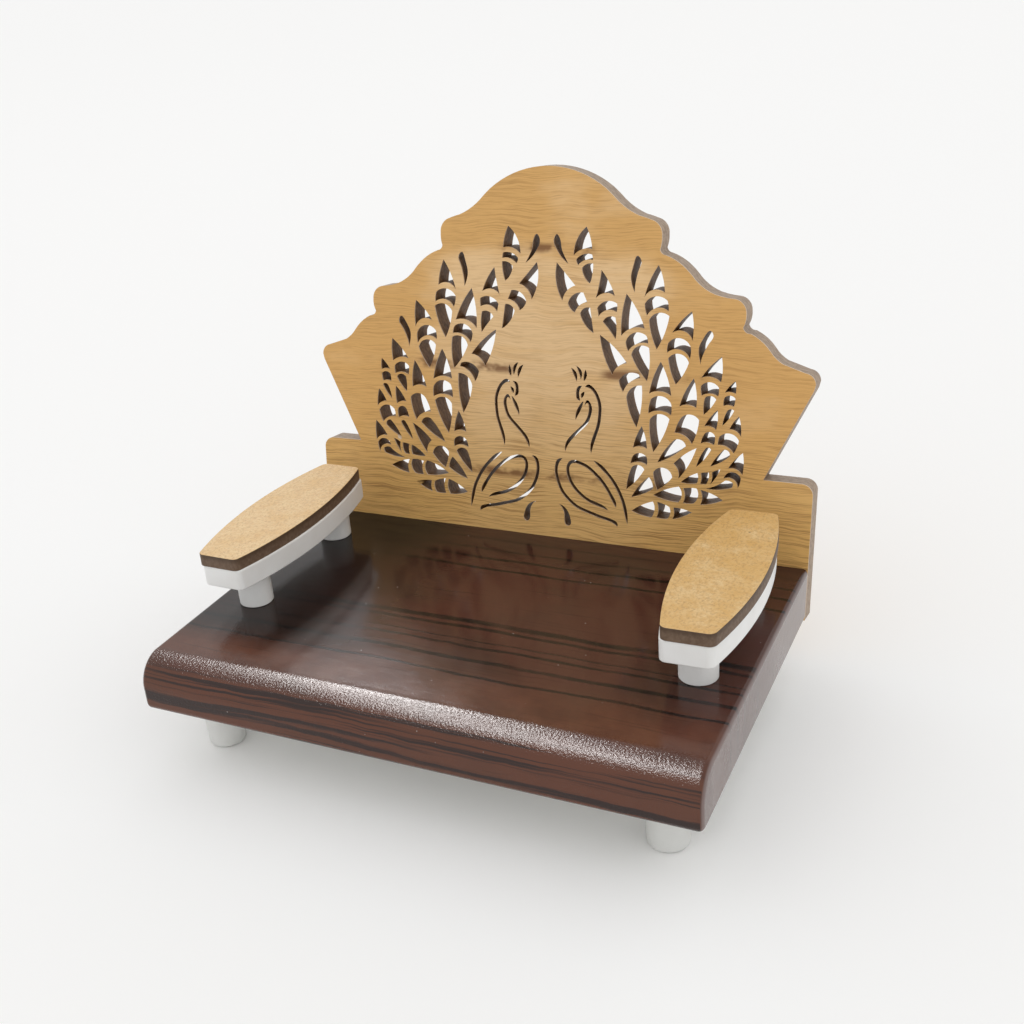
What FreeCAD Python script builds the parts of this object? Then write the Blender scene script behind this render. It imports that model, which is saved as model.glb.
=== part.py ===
import FreeCAD, Part
import math
import os
from FreeCAD import Placement, Rotation, Vector

# Deity simhasan throne: a low seat board on four feet, with a laser-cut back panel of two peacocks
# and two armrests on posts. Millimetres. The front faces -Y, +Z is up, and the origin is the middle
# of the footprint at the height of the feet's soles. Left and right are as seen from the front.

doc = FreeCAD.newDocument("simhasan")
sheet = doc.addObject("Spreadsheet::Sheet", "Sizes")

sizes = {
    # seat board
    "seat_width": 184,
    "seat_depth": 120,          # nose to panel, along the top
    "seat_thickness": 18,
    "nose_radius": 10,          # round of the front edge, above
    "heel_radius": 2.5,         # round of the front edge, below
    "side_round": 1.8,          # round of the arrises along both ends
    "foil_thickness": 0.5,      # wood-print foil, and the white facing below
    # back panel
    "panel_thickness": 8,
    "panel_rise": 128,          # seat top to the tip of the arch, along the panel
    "panel_lean": 8.4,          # degrees that it leans back, with the board's rear edge cut to match
    "slit_width": 1.15,
    # armrests
    "arm_inset": 15,            # from the end of the seat to the middle of the arm
    "arm_setback": 48.8,        # from the panel to the middle of the arm
    "arm_toe": 1.2,             # degrees that the arms turn in towards the panel
    "arm_length": 78.2,
    "arm_middle_width": 26,
    "arm_end_width": 15,
    "arm_corner": 2.4,
    "plate_thickness": 7.4,
    "plate_arris": 0.6,
    "pad_thickness": 4.2,
    "pad_arris": 0.25,
    "pad_shift": 0.5,           # the pads are glued on a little outwards
    "post_radius": 5.8,
    "post_height": 12.2,
    "post_arris": 0.4,
    "post_front_inset": 15.1,   # from the end of the arm to the middle of the post
    "post_rear_inset": 10.3,
    # feet
    "foot_height": 20,
    "foot_top_radius": 6.8,
    "foot_sole_radius": 6.2,
    "foot_round": 1.4,
    "foot_side_inset": 15.5,
    "foot_front_inset": 18.7,
    "foot_rear_inset": 16,
    "foot_recess_radius": 3.2,
    "foot_recess_depth": 4,
    # screws
    "screw_gap": 0.05,          # between a screw and its hole
    "foot_screw_head_radius": 2.8,
    "foot_screw_head_height": 1.8,
    "foot_screw_radius": 1.5,
    "foot_screw_bite": 9,       # length in the board
    "arm_screw_head_radius": 3.2,
    "arm_screw_head_height": 1.9,
    "arm_screw_radius": 1.5,
    "arm_screw_bite": 9,
    "panel_screw_head_radius": 3,
    "panel_screw_head_height": 1.8,
    "panel_screw_radius": 1.5,
    "panel_screw_bite": 15,
    "panel_screw_inset": 37,    # from the end of the seat to the outer screws
    "drive_width": 0.8,         # cross recess of the screws
    "drive_depth": 1.1,
}
for row, (word, value) in enumerate(sizes.items(), start=1):
    sheet.set(f"A{row}", word)
    sheet.set(f"B{row}", str(value))
    sheet.setAlias(f"B{row}", word)
doc.recompute()


class Cells:
    """The sheet's values by their alias."""

    def __getattr__(self, word):
        return float(sheet.get(word))


c = Cells()

# heights and depths that several pieces share, as expressions on the sheet
SEAT_TOP = "(Sizes.foot_height + Sizes.seat_thickness)"
PLATE_BASE = "(Sizes.foot_height + Sizes.seat_thickness + Sizes.post_height)"
PLATE_TOP = "(Sizes.foot_height + Sizes.seat_thickness + Sizes.post_height + Sizes.plate_thickness)"
LEAN_SIN = "sin(Sizes.panel_lean)"
LEAN_COS = "cos(Sizes.panel_lean)"
# the panel's front where it meets the seat top, so that nose and arch reach equally far
PANEL_FRONT = (f"((Sizes.seat_depth - Sizes.panel_rise * {LEAN_SIN}"
               f" - Sizes.panel_thickness * {LEAN_COS}) / 2)")
NOSE = f"({PANEL_FRONT} - Sizes.seat_depth)"
SCREW_DOWN = "Sizes.seat_thickness / 2"     # from the seat top down the panel to its screws

sides = {"left": -1, "right": 1}
ends = {"front": -1, "rear": 1}
parts = []


def bind(item, **expressions):
    """Bind properties to the sheet. A double underscore stands for a dot."""
    for name, text in expressions.items():
        item.setExpression(name.replace("__", "."), text)


def place(item, across="0", depth="0", height="0", turn=None):
    """Put a piece where the expressions say, turned first if it needs it."""
    if turn is not None:
        item.Placement = Placement(Vector(), turn)
    bind(item, Placement__Base__x=across, Placement__Base__y=depth, Placement__Base__z=height)


def place_on_panel(item, across, down, behind, tilt):
    """Put a piece below the seat top along the panel and behind its front, tilted with it."""
    place(item, across,
          f"{PANEL_FRONT} - ({down}) * {LEAN_SIN} + ({behind}) * {LEAN_COS}",
          f"{SEAT_TOP} - ({down}) * {LEAN_COS} - ({behind}) * {LEAN_SIN}",
          Rotation(Vector(-1, 0, 0), c.panel_lean))
    bind(item, Placement__Rotation__Angle=tilt)


def keep(item, label):
    """Name a finished piece and list it for the hand-over."""
    item.Label = label
    parts.append(item)
    return item


def new_body(name):
    return doc.addObject("PartDesign::Body", name)


def primitive(body, kind, turn=None, across="0", depth="0", height="0", **expressions):
    """Add or take away a cylinder, cone or box inside a body."""
    item = body.newObject(f"PartDesign::{kind}", kind)
    bind(item, **expressions)
    place(item, across, depth, height, turn)
    doc.recompute()
    return item


def sketch_on(body, role, name, geometry):
    """A sketch on one of the body's own origin planes."""
    sketch = body.newObject("Sketcher::SketchObject", name)
    plane = next(item for item in body.Origin.OriginFeatures if item.Role == role)
    sketch.AttachmentSupport = [(plane, "")]
    sketch.MapMode = "FlatFace"
    sketch.addGeometry(geometry, False)
    return sketch


def pad(body, sketch, length, **settings):
    item = body.newObject("PartDesign::Pad", "Pad")
    item.Profile = sketch
    for name, value in settings.items():
        setattr(item, name, value)
    item.setExpression("Length", length)
    sketch.Visibility = False
    doc.recompute()
    return item


def fillet(body, base, choose, radius):
    """Round the edges of the base that the rule picks."""
    picked = [f"Edge{index}" for index, edge in enumerate(base.Shape.Edges, start=1) if choose(edge)]
    item = body.newObject("PartDesign::Fillet", "Fillet")
    item.Base = (base, picked)
    item.setExpression("Radius", radius)
    doc.recompute()
    return item


def lies_at(edge, axis, value):
    """Whether an edge lies flat at this place along an axis."""
    box = edge.BoundBox
    low = getattr(box, f"{axis}Min")
    high = getattr(box, f"{axis}Max")
    return abs(low - value) < PROBE and abs(high - value) < PROBE


PROBE = c.foil_thickness / 50       # how near counts as the same place


def line(start, end):
    return Part.LineSegment(start, end)


def bow(start, end, share):
    """An arc from start to end that bulges to the left of its way by a share of its length."""
    run = end - start
    middle = (start + end) / 2
    if share == 0:
        return line(start, end)
    return Part.Arc(start, middle + Vector(-run.y, run.x, 0) * share, end)


def quarter(centre, radius, number):
    """A quarter of a circle; the first one starts at the right and goes round to the top."""
    spots = []
    for step in (number - 1, number - 0.5, number):
        turn = step * math.pi / 2
        spots.append(centre + Vector(math.cos(turn), math.sin(turn), 0) * radius)
    return Part.Arc(*spots)


# Seat board

def seat_block(name, skin, skin_text):
    """The board with its bullnose front, thinner by a skin above, in front and at both ends."""
    body = new_body(name)
    front = c.seat_depth - skin
    top = c.seat_thickness - skin
    nose = c.nose_radius - skin
    heel = c.heel_radius - skin
    base = skin
    # drawn with the panel at zero and the nose at minus the depth
    slope = math.tan(math.radians(c.panel_lean))
    rear_top = Vector(-skin * slope, top, 0)
    rear_base = Vector(-(c.seat_thickness - base) * slope, base, 0)
    nose_centre = Vector(-front + nose, top - nose, 0)
    heel_centre = Vector(-front + heel, base + heel, 0)
    profile = [
        line(rear_base, rear_top),
        line(rear_top, Vector(-front + nose, top, 0)),
        quarter(nose_centre, nose, 2),
        line(Vector(-front, top - nose, 0), Vector(-front, base + heel, 0)),
        quarter(heel_centre, heel, 3),
        line(Vector(-front + heel, base, 0), rear_base),
    ]
    sketch = sketch_on(body, "YZ_Plane", f"{name}_profile", profile)
    width = f"Sizes.seat_width - 2 * {skin_text}"
    block = pad(body, sketch, width, Midplane=True)
    half = c.seat_width / 2 - skin

    def along_an_end(edge):
        at_an_end = lies_at(edge, "X", half) or lies_at(edge, "X", -half)
        return at_an_end and edge.BoundBox.YMin < rear_base.x - PROBE

    fillet(body, block, along_an_end, f"Sizes.side_round - {skin_text}")
    place(body, depth=PANEL_FRONT, height="Sizes.foot_height")
    return body


def drill(name, radius, length, across="0", depth="0", height="0"):
    """A cylinder that is cut out for a screw."""
    item = doc.addObject("Part::Cylinder", name)
    bind(item, Radius=radius, Height=length)
    place(item, across, depth, height)
    return item


def drilled(name, base, drills):
    """A piece with its screw holes."""
    doc.recompute()
    tools = doc.addObject("Part::Compound", f"{name}_drills")
    tools.Links = drills
    cut = doc.addObject("Part::Cut", name)
    cut.Base = base
    cut.Tool = tools
    doc.recompute()
    return cut


UP_PANEL = "Sizes.panel_lean"               # upright pieces lean back with the panel
THROUGH_PANEL = "90 + Sizes.panel_lean"     # upright pieces point out of its back
UPSIDE_DOWN = Rotation(Vector(1, 0, 0), 180)


def arm_middle(side):
    """How far across the middle of an arm lies, as an expression."""
    return f"{sides[side]} * (Sizes.seat_width / 2 - Sizes.arm_inset)"


def post_offset(end):
    """How far behind the middle of the arm a post stands, as an expression."""
    return f"{ends[end]} * (Sizes.arm_length / 2 - Sizes.post_{end}_inset)"


def post_spot(side, end):
    """Where a post stands, as expressions."""
    return arm_middle(side), f"{PANEL_FRONT} - Sizes.arm_setback + ({post_offset(end)})"


def foot_spot(side, end):
    """Where a foot stands, as expressions."""
    across = f"{sides[side]} * (Sizes.seat_width / 2 - Sizes.foot_side_inset)"
    if end == "front":
        return across, f"{NOSE} + Sizes.foot_front_inset"
    return across, f"{PANEL_FRONT} - Sizes.foot_rear_inset"


def column_spot(column):
    """How far across a screw of the panel lies, as an expression."""
    return f"{column} * (Sizes.seat_width / 2 - Sizes.panel_screw_inset)"


corners = [(side, end) for side in sides for end in ends]
screw_columns = [-1, 0, 1]

foot_drills = []
arm_drills = []
facing_drills = []
foil_drills = []
for side, end in corners:
    across, depth = foot_spot(side, end)
    radius = "Sizes.foot_screw_radius + Sizes.screw_gap"
    facing_drills.append(drill(f"facing_hole_{side}_{end}", radius, "2 * Sizes.foil_thickness",
                               across, depth, "Sizes.foot_height - Sizes.foil_thickness / 2"))
    foot_drills.append(drill(f"foot_hole_{side}_{end}", radius,
                             "Sizes.foot_screw_bite + Sizes.screw_gap + Sizes.foil_thickness",
                             across, depth, "Sizes.foot_height - Sizes.foil_thickness"))
    across, depth = post_spot(side, end)
    radius = "Sizes.arm_screw_radius + Sizes.screw_gap"
    foil_drills.append(drill(f"foil_hole_{side}_{end}", radius, "2 * Sizes.foil_thickness",
                             across, depth, f"{SEAT_TOP} - 1.5 * Sizes.foil_thickness"))
    arm_drills.append(drill(f"arm_hole_{side}_{end}", radius,
                            "Sizes.arm_screw_bite + Sizes.screw_gap + Sizes.foil_thickness",
                            across, depth,
                            f"{SEAT_TOP} - Sizes.arm_screw_bite - Sizes.screw_gap"))
panel_drills = []
for column in screw_columns:
    hole = drill(f"panel_hole_{column + 1}", "Sizes.panel_screw_radius + Sizes.screw_gap",
                 "Sizes.panel_screw_bite + Sizes.screw_gap + Sizes.foil_thickness")
    place_on_panel(hole, column_spot(column), SCREW_DOWN,
                   "-Sizes.panel_screw_bite - Sizes.screw_gap", THROUGH_PANEL)
    panel_drills.append(hole)

core_block = seat_block("core_block", c.foil_thickness, "Sizes.foil_thickness")
seat_outside = seat_block("seat_outside", 0, "0")

# the white facing under the board stops where the turned-in foil begins, and at the sloping rear
facing_blank = doc.addObject("Part::Box", "facing_blank")
bind(facing_blank,
     Length="Sizes.seat_width - 2 * Sizes.side_round",
     Width="Sizes.seat_depth - Sizes.heel_radius",
     Height="Sizes.foil_thickness")
place(facing_blank, "-(Sizes.seat_width / 2 - Sizes.side_round)", f"{NOSE} + Sizes.heel_radius",
      "Sizes.foot_height")
facing_sheet = doc.addObject("Part::Common", "facing_sheet")
facing_sheet.Base = facing_blank
facing_sheet.Tool = seat_outside

inside = doc.addObject("Part::Compound", "seat_inside")
inside.Links = [core_block, facing_sheet]
foil_shell = doc.addObject("Part::Cut", "foil_shell")
foil_shell.Base = seat_outside
foil_shell.Tool = inside

keep(drilled("core", core_block, foot_drills + arm_drills + panel_drills), "seat_core")
keep(drilled("facing", facing_sheet, facing_drills), "seat_facing")
keep(drilled("foil", foil_shell, foil_drills), "seat_foil")

# Back panel. The outline is in shares of the panel: across in hundredths of its half width, and up
# from the seat top, where the tip of the arch is at the height of the apex share.

apex_share = 139.1
across_unit = c.seat_width / 200
up_unit = c.panel_rise / apex_share


def spot(share):
    """A point of the panel from its shares."""
    return Vector(share[0] * across_unit, share[1] * up_unit, 0)


def mirrored(share, side):
    return (share[0] * side, share[1])


# right half, from the tip of the arch down to the shoulder: each stretch is an arc through
# its middle point to its end point
outline_share = [
    ((11.5, 137.2), (22.3, 131.4)),         # top of the arch
    ((23.9, 130.0), (25.4, 128.6)),
    ((29.6, 124.9), (35.0, 122.0)),         # hollow beside it
    ((37.2, 121.4), (39.2, 120.7)),
    ((42.2, 118.7), (43.2, 115.2)),         # first lobe
    ((43.1, 112.6), (42.6, 110.6)),
    ((43.1, 109.5), (44.6, 108.7)),
    ((48.7, 106.8), (52.2, 104.1)),         # second lobe
    ((53.9, 102.4), (55.4, 100.6)),
    ((58.9, 97.6), (62.6, 95.7)),
    ((66.2, 94.8), (69.6, 94.4)),
    ((72.5, 92.9), (73.8, 89.6)),
    ((73.7, 87.0), (72.9, 84.7)),
    ((73.4, 83.6), (75.6, 82.7)),
    ((79.7, 80.1), (82.7, 76.9)),           # third lobe
    ((84.8, 74.5), (87.2, 72.8)),
    ((91.0, 71.5), (94.9, 70.2)),
    ((97.7, 68.7), (98.6, 66.3)),
]
tip_side_share = (98.1, 64.1)
waist_share = (82.5, 31.2)                  # the straight side ends on the shoulder here
shoulder_share = (95.5, 31.1)
shoulder_middle_share = (98.9, 29.8)
shoulder_end_share = (100, 26.4)
foot_of_panel = -c.seat_thickness


def panel_half(side):
    """The outline of one half, from the tip of the arch to the bottom edge."""
    edges = []
    here = spot((0, apex_share))
    for middle_share, end_share in outline_share:
        end = spot(mirrored(end_share, side))
        edges.append(Part.Arc(here, spot(mirrored(middle_share, side)), end))
        here = end
    for share in (tip_side_share, waist_share, shoulder_share):
        end = spot(mirrored(share, side))
        edges.append(line(here, end))
        here = end
    end = spot(mirrored(shoulder_end_share, side))
    edges.append(Part.Arc(here, spot(mirrored(shoulder_middle_share, side)), end))
    bottom = Vector(end.x, foot_of_panel, 0)
    edges.append(line(end, bottom))
    return edges, bottom


# The windows' shares are on the drawing's own grid, which fans out a little towards the seat. It is
# laid on the panel with these factors: of the share itself, of the other one and of both.
fan_share = {"across": 0.9745, "start": 2.95, "rise": -0.0303, "both": 0.00021}
climb_share = {"rise": 0.9401, "rise_squared": 0.00019, "across": -0.0025, "both": -0.00008}


def grid_spot(share, side):
    """A point of a window on the panel."""
    across, rise = share
    out = (fan_share["start"] + fan_share["across"] * across + fan_share["rise"] * rise
           + fan_share["both"] * across * rise)
    up = (climb_share["rise"] * rise + climb_share["rise_squared"] * rise * rise
          + climb_share["across"] * across + climb_share["both"] * across * rise)
    return spot((out * side, up))


# Each feather is a row of windows: a pointed tip, a band and a root that runs to a point.
# bows are the bulges of their edges, as shares of the edges' lengths: the edge away from the tip,
# the edge towards it, the left side and the right side.
feather_share = [
    {"tip": [(16.1, 122.8), (18.1, 114.8), (10.9, 112.3)],
     "band": [(11.9, 111.0), (18.0, 112.9), (18.3, 110.9), (12.6, 108.9)],
     "root": [(14.0, 107.9), (18.4, 109.6), (17.0, 102.3)], "bows": (0.15, 0.15, 0.12, 0.05)},
    {"tip": [(4.3, 109.6), (11.3, 101.4), (6.1, 95.5)],
     "band": [(8.2, 94.6), (14.4, 98.9), (15.8, 95.5), (10.9, 91.3)],
     "root": [(12.9, 91.0), (16.9, 93.5), (18.1, 84.0)], "bows": (0.15, 0.2, 0.105, 0)},
    {"tip": [(21.5, 107.5), (26.5, 98.1), (19.1, 96.9)],
     "band": [(19.6, 93.4), (27.3, 95.5), (27.1, 92.3), (20.1, 90.3)],
     "root": [(21.7, 88.5), (26.6, 90.3), (26.6, 82.2)], "bows": (0.22, 0.22, -0.02, 0.05)},
    {"tip": [(30.9, 99.3), (37.7, 86.8), (28.7, 83.6)],
     "band": [(30.4, 81.5), (38.3, 84.2), (39.0, 81.4), (31.3, 78.0)],
     "root": [(32.5, 76.7), (39.3, 79.8), (38.5, 67.2)], "bows": (0.17, 0.28, 0.05, 0.05)},
    {"tip": [(42.8, 110.1), (45.1, 100.2), (37.5, 98.2)],
     "band": [(37.6, 95.9), (46.1, 97.4), (46.5, 93.6), (38.5, 91.6)],
     "root": [(39.2, 90.0), (46.8, 91.9), (42.1, 79.4)], "bows": (0.25, 0.25, 0.05, 0.05)},
    {"tip": [(55.0, 94.1), (55.3, 83.3), (47.8, 85.9)],
     "band": [(46.3, 82.0), (54.8, 80.6), (54.4, 76.6), (46.0, 78.5)],
     "root": [(46.4, 76.4), (54.1, 75.2), (49.3, 66.8)], "bows": (0.27, 0.32, 0.05, 0.05)},
    {"tip": [(66.0, 78.3), (65.9, 68.9), (58.7, 70.1)],
     "band": [(58.6, 67.0), (65.2, 66.8), (65.0, 63.6), (58.9, 63.4)],
     "root": [(60.1, 62.6), (64.3, 62.3), (59.8, 56.2)], "bows": (0.15, 0.26, 0.05, 0.05)},
    {"tip": [(43.7, 75.0), (47.7, 62.3), (39.3, 62.7)],
     "band": [(39.9, 60.4), (47.7, 59.2), (47.7, 55.0), (39.0, 55.0)],
     "root": [(39.5, 52.5), (47.1, 53.4), (40.9, 39.9)], "bows": (0.15, 0.27, 0.05, 0.05)},
    {"tip": [(56.0, 69.7), (57.1, 58.5), (50.7, 58.6)],
     "band": [(51.4, 54.3), (58.2, 54.0), (55.6, 44.5), (49.0, 48.4)],
     "root": [(49.0, 45.6), (53.4, 43.5), (42.5, 36.0)], "bows": (0.15, 0.25, 0.05, 0.05)},
    {"tip": [(71.1, 69.8), (71.3, 65.0), (67.3, 65.2)],
     "band": [(67.2, 63.2), (71.2, 63.3), (70.7, 60.2), (66.9, 60.2)],
     "root": [(68.3, 58.3), (70.9, 58.7), (66.7, 52.7)], "bows": (0.12, 0.25, 0.05, 0.05)},
    {"tip": [(72.7, 56.8), (73.6, 49.1), (69.3, 51.6)],
     "band": [(65.7, 48.3), (72.9, 47.5), (71.1, 42.5), (65.2, 45.2)],
     "root": [(67.6, 43.6), (69.7, 41.2), (62.6, 36.5)], "bows": (0.15, 0.28, 0.05, 0.05)},
    {"tip": [(64.9, 58.5), (64.5, 50.8), (60.1, 51.9)],
     "band": [(60.1, 48.8), (64.2, 48.2), (63.8, 44.9), (58.9, 45.2)],
     "root": [(60.7, 43.3), (62.8, 43.0), (57.3, 35.8)], "bows": (0.15, 0.33, 0.05, 0.05)},
    {"tip": [(57.4, 43.2), (50.6, 30.3), (48.7, 36.2)],
     "root": [(40.9, 31.8), (48.3, 30.6), (42.5, 24.9)], "bows": (0.15, 0.38, 0.05, 0.05)},
    {"tip": [(74.5, 43.0), (74.5, 34.3), (69.2, 36.5)], "bows": (0.18, 0.18, 0.05, 0.05)},
    {"tip": [(66.4, 35.8), (62.6, 29.4), (63.2, 34.2)],
     "band": [(62.2, 34.1), (61.2, 29.4), (58.9, 29.3), (59.1, 33.6)],
     "root": [(57.9, 33.5), (57.7, 29.3), (51.5, 29.1)], "bows": (0.1, 0.1, 0.05, 0.05)},
    {"tip": [(67.6, 23.7), (59.1, 20.9), (59.1, 27.0)],
     "band": [(57.7, 27.3), (56.4, 21.1), (52.5, 20.9), (52.5, 26.8)],
     "root": [(50.9, 27.3), (50.7, 20.9), (40.9, 22.7)], "bows": (0.12, 0.2, 0.05, 0.05)},
    {"tip": [(56.0, 17.5), (48.5, 13.7), (48.8, 18.6)],
     "band": [(47.3, 18.6), (46.6, 13.6), (42.2, 13.6), (42.5, 20.1)],
     "root": [(40.9, 20.1), (40.2, 13.4), (32.3, 15.2)], "bows": (0.1, 0.15, 0.05, 0.05)},
    {"tip": [(36.5, 49.8), (38.5, 40.9), (33.0, 40.9)],
     "band": [(32.9, 37.5), (38.5, 37.5), (38.5, 34.5), (32.0, 34.5)],
     "root": [(32.5, 33.0), (37.5, 32.6), (30.3, 23.9)], "bows": (0.15, 0.27, 0.05, 0.05)},
    {"root": [(39.2, 29.9), (40.9, 25.2), (32.3, 20.9)], "bows": (0.1, 0.1, 0.05, 0.05)},
    {"tip": [(20.5, 83.6), (30.9, 73.5), (25.1, 68.7)],
     "band": [(27.6, 66.6), (35.4, 69.6), (35.9, 68.2), (29.3, 62.3)],
     "root": [(30.5, 60.5), (36.6, 65.4), (34.4, 49.0)], "bows": (0.15, 0.2, 0.06, 0.05)},
]

# the hooked last windows of the feather under the tip of the tail: corners, and each edge's bulge
hook_share = [
    [(67.7, 32.4), (74.0, 33.1), (72.9, 29.0)],
    [(61.0, 27.6), (68.2, 31.6), (71.2, 30.9), (70.7, 29.0)],
]
hook_bow_share = [(0.38, 0.06, -0.3), (-0.06, 0.12, 0.1, 0.06)]

# narrow saw lines of the birds, each along its middle
slit_share = {
    "breast": [(4.5, 33.7), (2.7, 32.5), (1.8, 30), (1.8, 26.8), (2.7, 23.2), (4.1, 20), (6.8, 16.8),
               (10, 14.3), (15, 12.5), (19.5, 11.1), (24.1, 10), (26, 9), (26.6, 7.7)],
    "wing": [(23, 14.1), (20, 15.7), (15.9, 17), (12.3, 19.1), (9.5, 21.8), (7.5, 25), (6.6, 28.2),
             (6.8, 30.9), (7.8, 32.4), (9.4, 32.9), (11.8, 32.5), (14.5, 31.4), (17.3, 29.3),
             (20, 26.6), (22.3, 23.6), (24.1, 20.5), (25.5, 17.7), (26.1, 15.7)],
    "back": [(17.2, 34.1), (19.5, 32.5), (22.7, 29.5), (25.5, 25.9), (27.7, 21.8), (29.1, 18.2),
             (30, 14.1), (30.7, 9.1)],
    "nape": [(14.3, 63.1), (15.7, 63.6), (17.5, 62.5), (19.1, 60), (20.1, 56.4), (20, 52.7),
             (19.5, 49.1), (18.2, 45), (16.8, 40.9), (16.3, 36.8)],
    "throat": [(13.9, 55.7), (15.4, 57.4), (16.3, 55.5), (15.9, 52.3), (14.8, 49.5), (12.3, 46.6),
               (9.1, 43.4), (6.8, 40.5), (5.7, 36.6)],
    "beak": [(10.2, 49.8), (11.1, 52.7), (12.3, 55.2), (13.6, 57.7)],
    "cheek": [(13.2, 63.5), (11.8, 62.5), (11.3, 60.5), (11.5, 58.5), (12.3, 57.6)],
    "eye": [(12.8, 58.6), (13.2, 60), (14.1, 61.3)],
    "crest_outer": [(8.9, 70.3), (10.2, 68.6), (11, 65)],
    "crest_middle": [(11.0, 71.2), (12.5, 69), (12.7, 65.9)],
    "crest_inner": [(14.7, 70), (14.5, 67.5), (13.9, 65.3)],
}

# drop-shaped windows: point, left side, round end, right side
drop_share = [
    [(8.9, 109.1), (6.1, 111.6), (4.0, 114.9), (3.3, 117.6), (4.6, 119.8), (6.0, 117.6), (6.3, 115.0),
     (7.1, 112.6)],
    [(34, 99.8), (32.9, 102.5), (32.5, 105.7), (33.4, 109.4), (35.2, 113), (36.4, 111.6), (35.7, 108.5),
     (34.6, 104.8)],
    [(58.4, 74.9), (57.7, 78), (57.6, 80.9), (59.2, 84.6), (61.9, 87.4), (62.8, 85.9), (61.6, 83.3),
     (59.6, 79.6)],
    [(2.3, 14.5), (3.9, 12.7), (4.6, 10), (4.6, 7.3), (5.6, 5.6), (7.0, 6.1), (7.2, 8.6), (5.6, 12.6)],
]


def window(corners_share, bows, side):
    """One closed window from its corners; each edge bulges by its own share."""
    spots = [grid_spot(share, side) for share in corners_share]
    edges = []
    for index, share in enumerate(bows):
        edges.append(bow(spots[index], spots[(index + 1) % len(spots)], share * side))
    return edges


def feather(shares, side):
    """The windows of one feather. Bands and roots arch towards the tip."""
    arch, crown, left, right = shares["bows"]
    edges = []
    if "tip" in shares:
        edges += window(shares["tip"], (right, -arch, left), side)
    if "band" in shares:
        edges += window(shares["band"], (crown, right, -arch, left), side)
    if "root" in shares:
        edges += window(shares["root"], (crown, right, left), side)
    return edges


def slit(shares, side):
    """A saw line of the sheet's width along its middle, pointed at both ends."""
    spots = [grid_spot(share, side) for share in shares]
    banks = ([], [])
    for index in range(1, len(spots) - 1):
        run = spots[index + 1] - spots[index - 1]
        off = Vector(-run.y, run.x, 0).normalize() * (c.slit_width / 2)
        banks[0].append(spots[index] + off)
        banks[1].append(spots[index] - off)
    edges = []
    for bank in banks:
        curve = Part.BSplineCurve()
        curve.interpolate([spots[0]] + bank + [spots[-1]])
        edges.append(curve)
    return edges


def drop(shares, side):
    """A drop as one closed curve with its point at the start."""
    spots = [grid_spot(share, side) for share in shares]
    curve = Part.BSplineCurve()
    curve.interpolate(spots + spots[:1])
    return [curve]


def panel_drawing():
    """The outline and every window of the panel."""
    right_edges, right_bottom = panel_half(1)
    left_edges, left_bottom = panel_half(-1)
    edges = right_edges + left_edges + [line(right_bottom, left_bottom)]
    for side in sides.values():
        for shares in feather_share:
            edges += feather(shares, side)
        for shares, bows in zip(hook_share, hook_bow_share):
            edges += window(shares, bows, side)
        for shares in slit_share.values():
            edges += slit(shares, side)
        for shares in drop_share:
            edges += drop(shares, side)
    return edges


sawn_panel = new_body("sawn_panel")
pad(sawn_panel, sketch_on(sawn_panel, "XZ_Plane", "outline_and_fretwork", panel_drawing()),
    "Sizes.panel_thickness", Reversed=True, Refine=False)
place_on_panel(sawn_panel, "0", "0", "0", UP_PANEL)

countersinks = []
for column in screw_columns:
    across = column_spot(column)
    clearance = drill(f"panel_clearance_{column + 1}",
                      "Sizes.panel_screw_radius + Sizes.screw_gap", "Sizes.panel_thickness")
    place_on_panel(clearance, across, SCREW_DOWN, "0", THROUGH_PANEL)
    mouth = doc.addObject("Part::Cone", f"panel_mouth_{column + 1}")
    bind(mouth, Radius1="Sizes.panel_screw_radius + Sizes.screw_gap",
         Radius2="Sizes.panel_screw_head_radius + Sizes.screw_gap",
         Height="Sizes.panel_screw_head_height")
    place_on_panel(mouth, across, SCREW_DOWN,
                   "Sizes.panel_thickness - Sizes.panel_screw_head_height", THROUGH_PANEL)
    countersinks += [clearance, mouth]
keep(drilled("panel", sawn_panel, countersinks), "back_panel")


# Armrests

def arm_plan(body, name):
    """The long bowed outline with blunt ends."""
    half = c.arm_length / 2
    blunt = c.arm_end_width / 2
    belly = c.arm_middle_width / 2
    return sketch_on(body, "XY_Plane", name, [
        Part.Arc(Vector(blunt, -half, 0), Vector(belly, 0, 0), Vector(blunt, half, 0)),
        line(Vector(blunt, half, 0), Vector(-blunt, half, 0)),
        Part.Arc(Vector(-blunt, half, 0), Vector(-belly, 0, 0), Vector(-blunt, -half, 0)),
        line(Vector(-blunt, -half, 0), Vector(blunt, -half, 0)),
    ])


def arm_slab(name, thickness, arris, both_faces):
    """A slab of the arm's outline with rounded corners and softened arrises."""
    body = new_body(name)
    slab = pad(body, arm_plan(body, f"{name}_plan"), thickness)
    top = slab.Shape.BoundBox.ZMax
    rounded = fillet(body, slab,
                     lambda edge: not lies_at(edge, "Z", 0) and not lies_at(edge, "Z", top),
                     "Sizes.arm_corner")

    def on_a_face(edge):
        return lies_at(edge, "Z", top) or (both_faces and lies_at(edge, "Z", 0))

    fillet(body, rounded, on_a_face, arris)
    return body


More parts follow.
